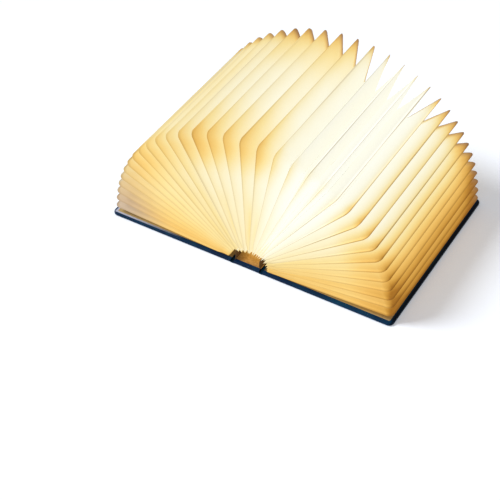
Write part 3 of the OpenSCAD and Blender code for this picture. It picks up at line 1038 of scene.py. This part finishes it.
def dress_nodes():
    board = plain_material("greyboard", srgb("A89880"), 0.85, grain=800, spread=0.2)
    endpaper = endpaper_material()
    steel = plain_material("plated_steel", srgb("C8C9CC"), 0.28, metallic=1.0, grain=900,
                           spread=0.05, bump=0.05)
    for node in ("front_board", "back_board", "spine_board"):
        dress(node, board)
    for node in ("front_endpaper", "back_endpaper"):
        dress(node, endpaper)
    dress("spine_liner", liner_material())
    for node in ("front_magnets", "back_magnets", "usb_socket", "lid_screws"):
        dress(node, steel)
    dress("led_tray", plain_material("housing_plastic", srgb("4A4642"), 0.5, grain=1200, bump=0.3))
    dress("tray_lid", plain_material("lid_metal", srgb("C9CBCD"), 0.35, metallic=1.0, grain=400,
                                     spread=0.06, bump=0.1, stretch=(6, 0.3, 6)))
    dress("led_strip", plain_material("strip_board", srgb("F2F2EE"), 0.4))
    warm = srgb("FFD98A")
    dress("led_chips", plain_material("led_chip", warm, 0.3, emission=warm, strength=3.0))
    dress("diffuser", plain_material("diffuser_plastic", srgb("FFF6DC"), 0.55, spread=0.03,
                                     emission=srgb("FFE9B8"), strength=1.2))
    dress("battery", plain_material("battery_foil", srgb("A9B4C2"), 0.35, metallic=0.9, grain=300,
                                    spread=0.06))
    dress("control_board", plain_material("circuit_board", srgb("0E5A36"), 0.4, grain=700))
    dress("switch_sensor", plain_material("chip_plastic", srgb("1A1A1A"), 0.5))


# ---------------------------------------------------------------- scene
def make_camera():
    cp, sp = math.cos(CAMERA_PITCH), math.sin(CAMERA_PITCH)
    forward = Vector((math.sin(CAMERA_YAW) * cp, math.cos(CAMERA_YAW) * cp, -sp))
    data = bpy.data.cameras.new("camera")
    data.sensor_width = SENSOR_MM
    data.lens = SENSOR_MM * FOCAL_PX / IMAGE_PX
    data.clip_start = 0.01
    data.clip_end = 50
    camera = bpy.data.objects.new("camera", data)
    camera.location = CAMERA_TARGET - forward * CAMERA_DISTANCE
    aim = forward.to_track_quat("-Z", "Y").to_matrix().to_4x4()
    spin = Matrix.Rotation(CAMERA_ROLL, 4, "Z")
    camera.rotation_euler = (aim @ spin).to_euler()
    bpy.context.scene.collection.objects.link(camera)
    bpy.context.scene.camera = camera


def floor_material():
    g = Graph("studio_floor")
    path = g.node("ShaderNodeLightPath")
    seen = g.math("MAXIMUM", Socket(g, path.outputs["Is Camera Ray"]),
                  g.math("MAXIMUM", Socket(g, path.outputs["Is Glossy Ray"]),
                         Socket(g, path.outputs["Is Transmission Ray"])))
    diffuse = g.node("ShaderNodeBsdfDiffuse")
    diffuse.inputs["Color"].default_value = FLOOR_COLOUR
    glow = g.node("ShaderNodeEmission")
    g.feed(glow.inputs["Strength"], seen * FLOOR_GLOW)
    add = g.node("ShaderNodeAddShader")
    g.tree.links.new(diffuse.outputs[0], add.inputs[0])
    g.tree.links.new(glow.outputs[0], add.inputs[1])
    # seen from below, the floor lets the underside show
    facing = g.node("ShaderNodeNewGeometry")
    clear = g.node("ShaderNodeBsdfTransparent")
    shown = g.node("ShaderNodeMixShader")
    g.tree.links.new(facing.outputs["Backfacing"], shown.inputs[0])
    g.tree.links.new(add.outputs[0], shown.inputs[1])
    g.tree.links.new(clear.outputs[0], shown.inputs[2])
    g.tree.links.new(shown.outputs[0], g.output.inputs[0])
    return g.material


def make_stage():
    size = FLOOR_HALF_W
    corners = [(-size, -size, 0), (size, -size, 0), (size, size, 0), (-size, size, 0)]
    floor = make_mesh("studio_floor", corners, [(0, 1, 2, 3)], floor_material())
    floor.location.z = -FLOOR_DROP
    world = bpy.data.worlds.new("studio")
    bpy.context.scene.world = world
    world.use_nodes = True
    tree = world.node_tree
    tree.nodes.clear()
    out = tree.nodes.new("ShaderNodeOutputWorld")
    sky = tree.nodes.new("ShaderNodeBackground")
    sky.inputs["Color"].default_value = (1, 1, 1, 1)
    path = tree.nodes.new("ShaderNodeLightPath")
    level = tree.nodes.new("ShaderNodeMix")
    level.data_type = "FLOAT"
    level.inputs[2].default_value = ROOM_LEVEL
    level.inputs[3].default_value = BACKDROP_LEVEL
    tree.links.new(path.outputs["Is Camera Ray"], level.inputs[0])
    tree.links.new(level.outputs[0], sky.inputs["Strength"])
    tree.links.new(sky.outputs[0], out.inputs[0])


def make_lamp(name, kind, place, aim, size, power):
    data = bpy.data.lights.new(name, kind)
    data.energy = power
    if kind == "SUN":
        data.angle = size
    else:
        data.size = size
    lamp = bpy.data.objects.new(name, data)
    lamp.location = place
    lamp.rotation_euler = (Vector(aim) - Vector(place)).to_track_quat("-Z", "Y").to_euler()
    bpy.context.scene.collection.objects.link(lamp)


make_camera()
make_stage()
make_lamp("key", "SUN", place=(-1.5, -0.7, 1.7), aim=(0, 0, 0), size=math.radians(20), power=2.6)
make_lamp("fill", "AREA", place=(0.6, -1.6, 1.3), aim=(0, 0, 0.05), size=1.4, power=4)
make_case()
pleat_paper = paper_material()
make_fan(pleat_paper)
make_root_cloth(pleat_paper)
dress_nodes()

bpy.context.scene.view_settings.view_transform = "Standard"
